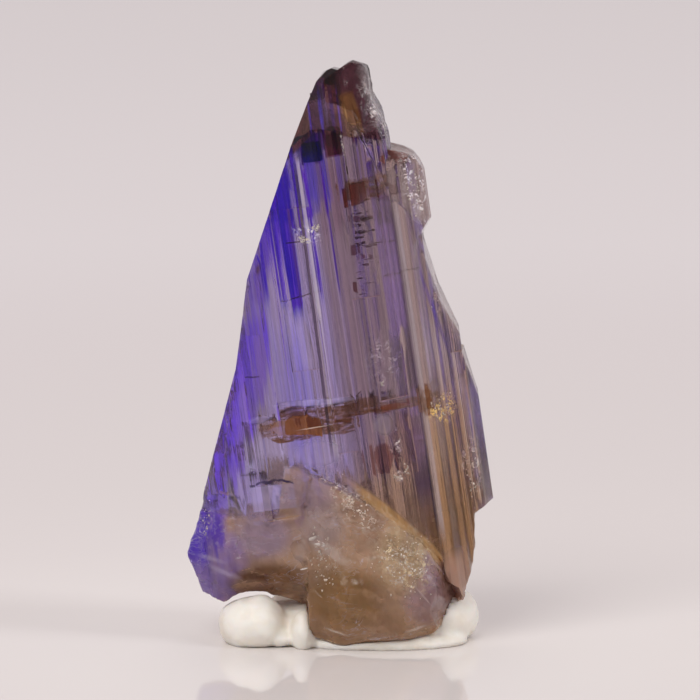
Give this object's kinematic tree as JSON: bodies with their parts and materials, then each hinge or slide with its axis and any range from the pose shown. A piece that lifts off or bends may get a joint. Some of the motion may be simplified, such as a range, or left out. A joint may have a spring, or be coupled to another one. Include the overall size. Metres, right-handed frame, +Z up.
{
  "type": "rough tanzanite crystal on a putty pad",
  "caption": "Rough tanzanite: a leaning, striated wedge of clear violet crystal with a chisel tip and a broken brown root, standing in a pad of white modelling putty.",
  "frame": {"origin": "on the surface that the pad stands on, under the middle of the whole", "axes": "+Z up, nearly along the crystal's length; +X to the right seen from the front; +Y away from the viewer, through the crystal from front to back"},
  "size_m": [0.011, 0.007, 0.0211],
  "materials": {
    "tanzanite": "clear violet crystal with a bright vitreous lustre, striated along its length",
    "putty": "matt white modelling putty, kneaded smooth by hand"
  },
  "bodies": {
    "root": {"crystal": "tanzanite", "putty_pad": "putty"}
  },
  "joints": []
}
